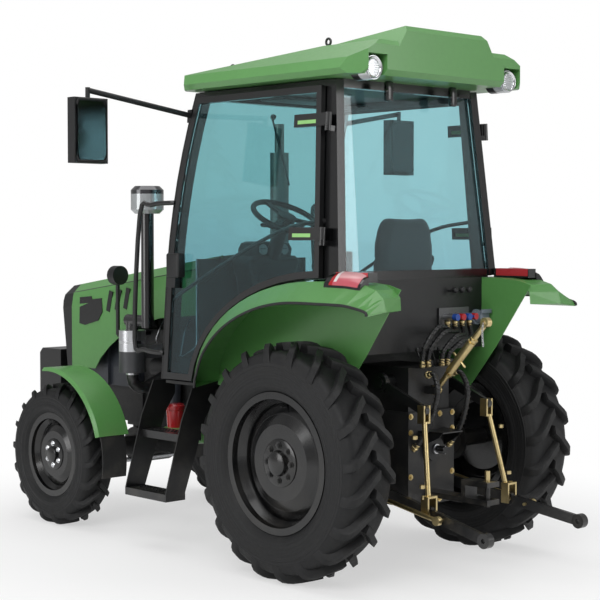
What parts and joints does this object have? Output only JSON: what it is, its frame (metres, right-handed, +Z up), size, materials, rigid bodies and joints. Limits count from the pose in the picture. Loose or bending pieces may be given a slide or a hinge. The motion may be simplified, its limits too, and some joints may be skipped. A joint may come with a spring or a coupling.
{
  "type": "farm tractor",
  "caption": "Cab farm tractor with light green panels, bar-lug tyres, opening doors, tilting hood, front steering and a rear three-point hitch.",
  "frame": {"origin": "ground level, middle of the overall length and width", "axes": "+X forward, +Y to the tractor's left, +Z up"},
  "size_m": [3.745, 2.505, 2.678],
  "materials": {
    "green_paint": "gloss",
    "black_paint": "satin",
    "cast_black": "matt",
    "trim_black": "matt",
    "tyre_rubber": "matt",
    "rubber": "matt",
    "rim_black": "gloss",
    "tinted_glass": "gloss",
    "zinc": "satin",
    "bright_steel": "satin",
    "signal_red": "gloss",
    "lamp": "gloss",
    "seat_cover": "matt"
  },
  "bodies": {
    "chassis": {"front_frame": "cast_black", "front_weight": "black_paint", "engine": "cast_black", "radiator": "black_paint", "gearbox": "cast_black", "rear_axle": "cast_black", "front_axle": "cast_black", "air_cleaner": "bright_steel", "intake_stack": "black_paint", "exhaust": "bright_steel", "cab_frame": "black_paint", "cab_floor": "trim_black", "roof": "green_paint", "windshield": "tinted_glass", "rear_window": "tinted_glass", "seat": "seat_cover", "dashboard": "trim_black", "fender_left": "green_paint", "fender_right": "green_paint", "tail_lamps": "signal_red", "work_lamps": "lamp", "side_lamps": "trim_black", "mirrors": "trim_black", "steps": "black_paint", "grab_rails": "black_paint", "lifting_eyes": "black_paint", "lift_housing": "cast_black", "couplers": "bright_steel", "drawbar": "black_paint"},
    "steering_wheel": {"steering_wheel": "trim_black"},
    "knuckle_left": {"knuckle_left": "cast_black", "front_fender_left": "green_paint", "mud_flap_left": "rubber"},
    "knuckle_right": {"knuckle_right": "cast_black", "front_fender_right": "green_paint", "mud_flap_right": "rubber"},
    "tie_rod": {"tie_rod": "bright_steel"},
    "front_wheel_left": {"front_tyre_left": "tyre_rubber", "front_rim_left": "rim_black"},
    "front_wheel_right": {"front_tyre_right": "tyre_rubber", "front_rim_right": "rim_black"},
    "rear_wheel_left": {"rear_tyre_left": "tyre_rubber", "rear_rim_left": "rim_black"},
    "rear_wheel_right": {"rear_tyre_right": "tyre_rubber", "rear_rim_right": "rim_black"},
    "door_left": {"door_left": "black_paint", "door_glass_left": "tinted_glass"},
    "door_right": {"door_right": "black_paint", "door_glass_right": "tinted_glass"},
    "hood": {"hood": "green_paint", "hood_nose": "trim_black"},
    "lower_links": {"lower_links": "black_paint", "stabilisers": "zinc"},
    "lift_arms": {"lift_arms": "black_paint"},
    "lift_rods": {"lift_rods": "zinc"},
    "top_link": {"top_link": "zinc"}
  },
  "joints": [
    {"name": "rear_wheel_left_spin", "type": "hinge", "parent": "chassis", "child": "rear_wheel_left", "pos_m": [-0.8875, 0.665, 0.58], "axis": [0, 1, 0], "continuous": true},
    {"name": "steer_left", "type": "hinge", "parent": "chassis", "child": "knuckle_left", "pos_m": [1.1125, 0.49, 0.407], "axis": [0, 0, 1], "range_deg": [-35, 35]},
    {"name": "front_wheel_left_spin", "type": "hinge", "parent": "knuckle_left", "child": "front_wheel_left", "pos_m": [1.1125, 0.64, 0.407], "axis": [0, 1, 0], "continuous": true},
    {"name": "door_left_swing", "type": "hinge", "parent": "chassis", "child": "door_left", "pos_m": [-1.0375, 0.66897, 0.90595], "axis": [0, -0.068, 0.9977], "range_deg": [0, 75]},
    {"name": "rear_wheel_right_spin", "type": "hinge", "parent": "chassis", "child": "rear_wheel_right", "pos_m": [-0.8875, -0.665, 0.58], "axis": [0, 1, 0], "continuous": true},
    {"name": "steer_right", "type": "hinge", "parent": "chassis", "child": "knuckle_right", "pos_m": [1.1125, -0.49, 0.407], "axis": [0, 0, 1], "range_deg": [-35, 35]},
    {"name": "front_wheel_right_spin", "type": "hinge", "parent": "knuckle_right", "child": "front_wheel_right", "pos_m": [1.1125, -0.64, 0.407], "axis": [0, 1, 0], "continuous": true},
    {"name": "door_right_swing", "type": "hinge", "parent": "chassis", "child": "door_right", "pos_m": [-1.0375, -0.66897, 0.90595], "axis": [0, -0.068, -0.9977], "range_deg": [0, 75]},
    {"name": "tie_rod_pivot", "type": "hinge", "parent": "knuckle_left", "child": "tie_rod", "pos_m": [0.9625, 0.49, 0.342], "axis": [0, 0, 1], "range_deg": [-35, 35]},
    {"name": "steering_wheel_turn", "type": "hinge", "parent": "chassis", "child": "steering_wheel", "pos_m": [-0.1175, 0, 1.77], "axis": [-0.4695, 0, 0.8829], "range_deg": [-541, 541]},
    {"name": "hood_tilt", "type": "hinge", "parent": "chassis", "child": "hood", "pos_m": [0.2005, 0, 1.548], "axis": [0, -1, 0], "range_deg": [0, 50]},
    {"name": "hitch_lift", "type": "hinge", "parent": "chassis", "child": "lower_links", "pos_m": [-0.9975, 0, 0.43], "axis": [0, 1, 0], "range_deg": [-6, 36]},
    {"name": "rockshaft", "type": "hinge", "parent": "chassis", "child": "lift_arms", "pos_m": [-1.0575, 0, 0.945], "axis": [0, 1, 0], "range_deg": [-8.86, 53.11]},
    {"name": "lift_rod_pivot", "type": "hinge", "parent": "lift_arms", "child": "lift_rods", "pos_m": [-1.3465, 0, 0.83], "axis": [0, 1, 0], "range_deg": [-55.99, 9.34]},
    {"name": "top_link_swing", "type": "hinge", "parent": "chassis", "child": "top_link", "pos_m": [-1.2175, 0, 0.905], "axis": [0, 1, 0], "range_deg": [-65, 0]}
  ],
  "couplings": [
    {"joint": "steer_right", "follows": "steer_left", "ratio": 1},
    {"joint": "tie_rod_pivot", "follows": "steer_left", "ratio": -1},
    {"joint": "steering_wheel_turn", "follows": "steer_left", "ratio": 15.429},
    {"joint": "rockshaft", "follows": "hitch_lift", "ratio": 1.475},
    {"joint": "lift_rod_pivot", "follows": "hitch_lift", "ratio": -1.555}
  ]
}
